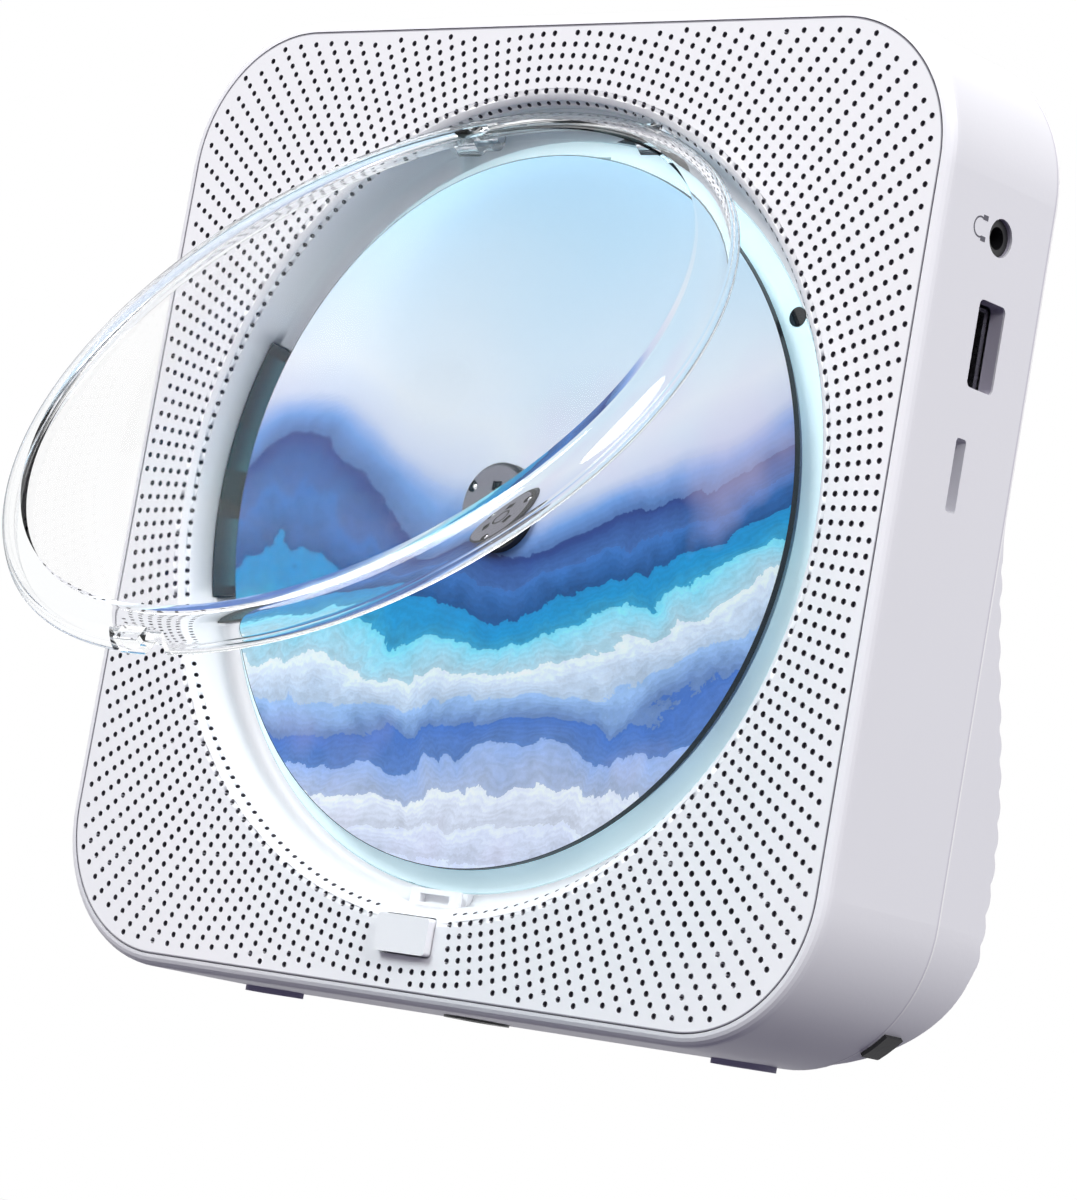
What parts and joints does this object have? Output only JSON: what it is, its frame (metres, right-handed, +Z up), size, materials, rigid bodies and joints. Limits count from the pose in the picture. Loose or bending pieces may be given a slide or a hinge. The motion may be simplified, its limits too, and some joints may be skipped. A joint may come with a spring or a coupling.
{
  "type": "wall mounted cd player",
  "caption": "Square wall-mounted disc player with a perforated white front, a clear flip-up lid over a glowing disc well, top keys and side sockets.",
  "frame": {"origin": "midway between the two hanging holes, on the outer face of the rear cover", "axes": "+X right, +Y towards the wall, +Z up; the perforated front faces -Y"},
  "size_m": [0.166, 0.1159, 0.1677],
  "materials": {
    "white_body": "satin white moulding",
    "white_face": "satin white moulding",
    "glow_ring": "translucent white lit from behind",
    "board": "coated circuit board",
    "smoked_window": "smoked clear plastic",
    "dark_parts": "fine matt",
    "dark_gloss": "polished",
    "deck_plastic": "fine matt white",
    "screws": "zinc plated",
    "battery_wrap": "shrink sleeve",
    "foot_rubber": "pale matt rubber",
    "black_rubber": "matt",
    "capacitor_sleeve": "printed sleeve without marks",
    "socket_metal": "nickel plated",
    "cone_paper": "coated paper",
    "chassis_plastic": "fine matt",
    "motor_can": "drawn steel",
    "bright_steel": "ground and polished",
    "hub_plastic": "moulded grey",
    "printed_disc": "printed label under clear lacquer",
    "lens": "polished",
    "gear_plastic": "natural acetal",
    "clear_lid": "clear moulded plastic",
    "key_plastic": "satin"
  },
  "bodies": {
    "housing_body": {"front_housing": "white_body", "grille_panel": "white_face", "light_ring": "glow_ring", "led_ring": "board", "display_window": "smoked_window", "display_module": "dark_parts", "ir_window": "dark_gloss", "deck": "deck_plastic", "deck_screws": "screws", "rear_cover": "white_body", "cover_screws": "screws", "rear_bulge": "white_body", "bulge_screws": "screws", "battery_pack": "battery_wrap", "feet": "foot_rubber", "corner_pads": "black_rubber", "main_board": "board", "capacitors": "capacitor_sleeve", "board_screws": "screws", "io_board": "board", "headphone_jack": "dark_parts", "usb_socket": "socket_metal", "card_socket": "socket_metal", "power_inlet": "dark_parts", "speaker_left": "dark_parts", "speaker_right": "dark_parts", "cone_left": "cone_paper", "cone_right": "cone_paper", "chassis": "chassis_plastic", "grommets": "black_rubber", "chassis_screws": "screws", "spindle_motor": "motor_can", "guide_rods": "bright_steel", "sled_motor": "motor_can", "hinge_pins": "bright_steel", "lid_catch": "white_face", "latch_spring": "bright_steel", "key_board": "board"},
    "turntable_body": {"turntable": "hub_plastic", "hub_balls": "bright_steel", "disc": "printed_disc"},
    "sled_body": {"pickup_sled": "chassis_plastic", "pickup_lens": "lens", "sled_rack": "gear_plastic"},
    "gear_body": {"sled_gear": "gear_plastic"},
    "pinion_body": {"motor_pinion": "gear_plastic"},
    "lid_body": {"lid": "clear_lid"},
    "latch_body": {"latch_button": "white_face"},
    "key_1_body": {"key_1": "key_plastic"},
    "key_2_body": {"key_2": "key_plastic"},
    "key_3_body": {"key_3": "key_plastic"},
    "key_4_body": {"key_4": "key_plastic"},
    "key_5_body": {"key_5": "key_plastic"},
    "key_6_body": {"key_6": "key_plastic"}
  },
  "joints": [
    {"name": "lid_hinge", "type": "hinge", "parent": "housing_body", "child": "lid_body", "pos_m": [0, -0.0228, 0.0117], "axis": [-1, 0, 0], "range_deg": [-36, 0]},
    {"name": "disc_spin", "type": "hinge", "parent": "housing_body", "child": "turntable_body", "pos_m": [0, -0.0236, -0.052], "axis": [0, 1, 0], "continuous": true},
    {"name": "sled_slide", "type": "slide", "parent": "housing_body", "child": "sled_body", "axis": [0, 0, 1], "range_m": [0, 0.032]},
    {"name": "gear_spin", "type": "hinge", "parent": "housing_body", "child": "gear_body", "pos_m": [0.0311, -0.0155, -0.019], "axis": [0, 1, 0], "range_deg": [-1, 200]},
    {"name": "pinion_spin", "type": "hinge", "parent": "housing_body", "child": "pinion_body", "pos_m": [0.0379, -0.0155, -0.03078], "axis": [0, -1, 0], "range_deg": [-1, 480]},
    {"name": "latch_press", "type": "slide", "parent": "housing_body", "child": "latch_body", "axis": [0, 1, 0], "range_m": [0, 0.001], "stiffness_N_per_m": 300, "deforming": ["latch_spring"]},
    {"name": "key_1_press", "type": "slide", "parent": "housing_body", "child": "key_1_body", "axis": [0, 0, -1], "range_m": [0, 0.0006], "stiffness_N_per_m": 400},
    {"name": "key_2_press", "type": "slide", "parent": "housing_body", "child": "key_2_body", "axis": [0, 0, -1], "range_m": [0, 0.0006], "stiffness_N_per_m": 400},
    {"name": "key_3_press", "type": "slide", "parent": "housing_body", "child": "key_3_body", "axis": [0, 0, -1], "range_m": [0, 0.0006], "stiffness_N_per_m": 400},
    {"name": "key_4_press", "type": "slide", "parent": "housing_body", "child": "key_4_body", "axis": [0, 0, -1], "range_m": [0, 0.0006], "stiffness_N_per_m": 400},
    {"name": "key_5_press", "type": "slide", "parent": "housing_body", "child": "key_5_body", "axis": [0, 0, -1], "range_m": [0, 0.0006], "stiffness_N_per_m": 400},
    {"name": "key_6_press", "type": "slide", "parent": "housing_body", "child": "key_6_body", "axis": [0, 0, -1], "range_m": [0, 0.0006], "stiffness_N_per_m": 400}
  ],
  "couplings": [
    {"joint": "gear_spin", "follows": "sled_slide", "rad_per_m": 104.17},
    {"joint": "pinion_spin", "follows": "sled_slide", "rad_per_m": 250}
  ]
}
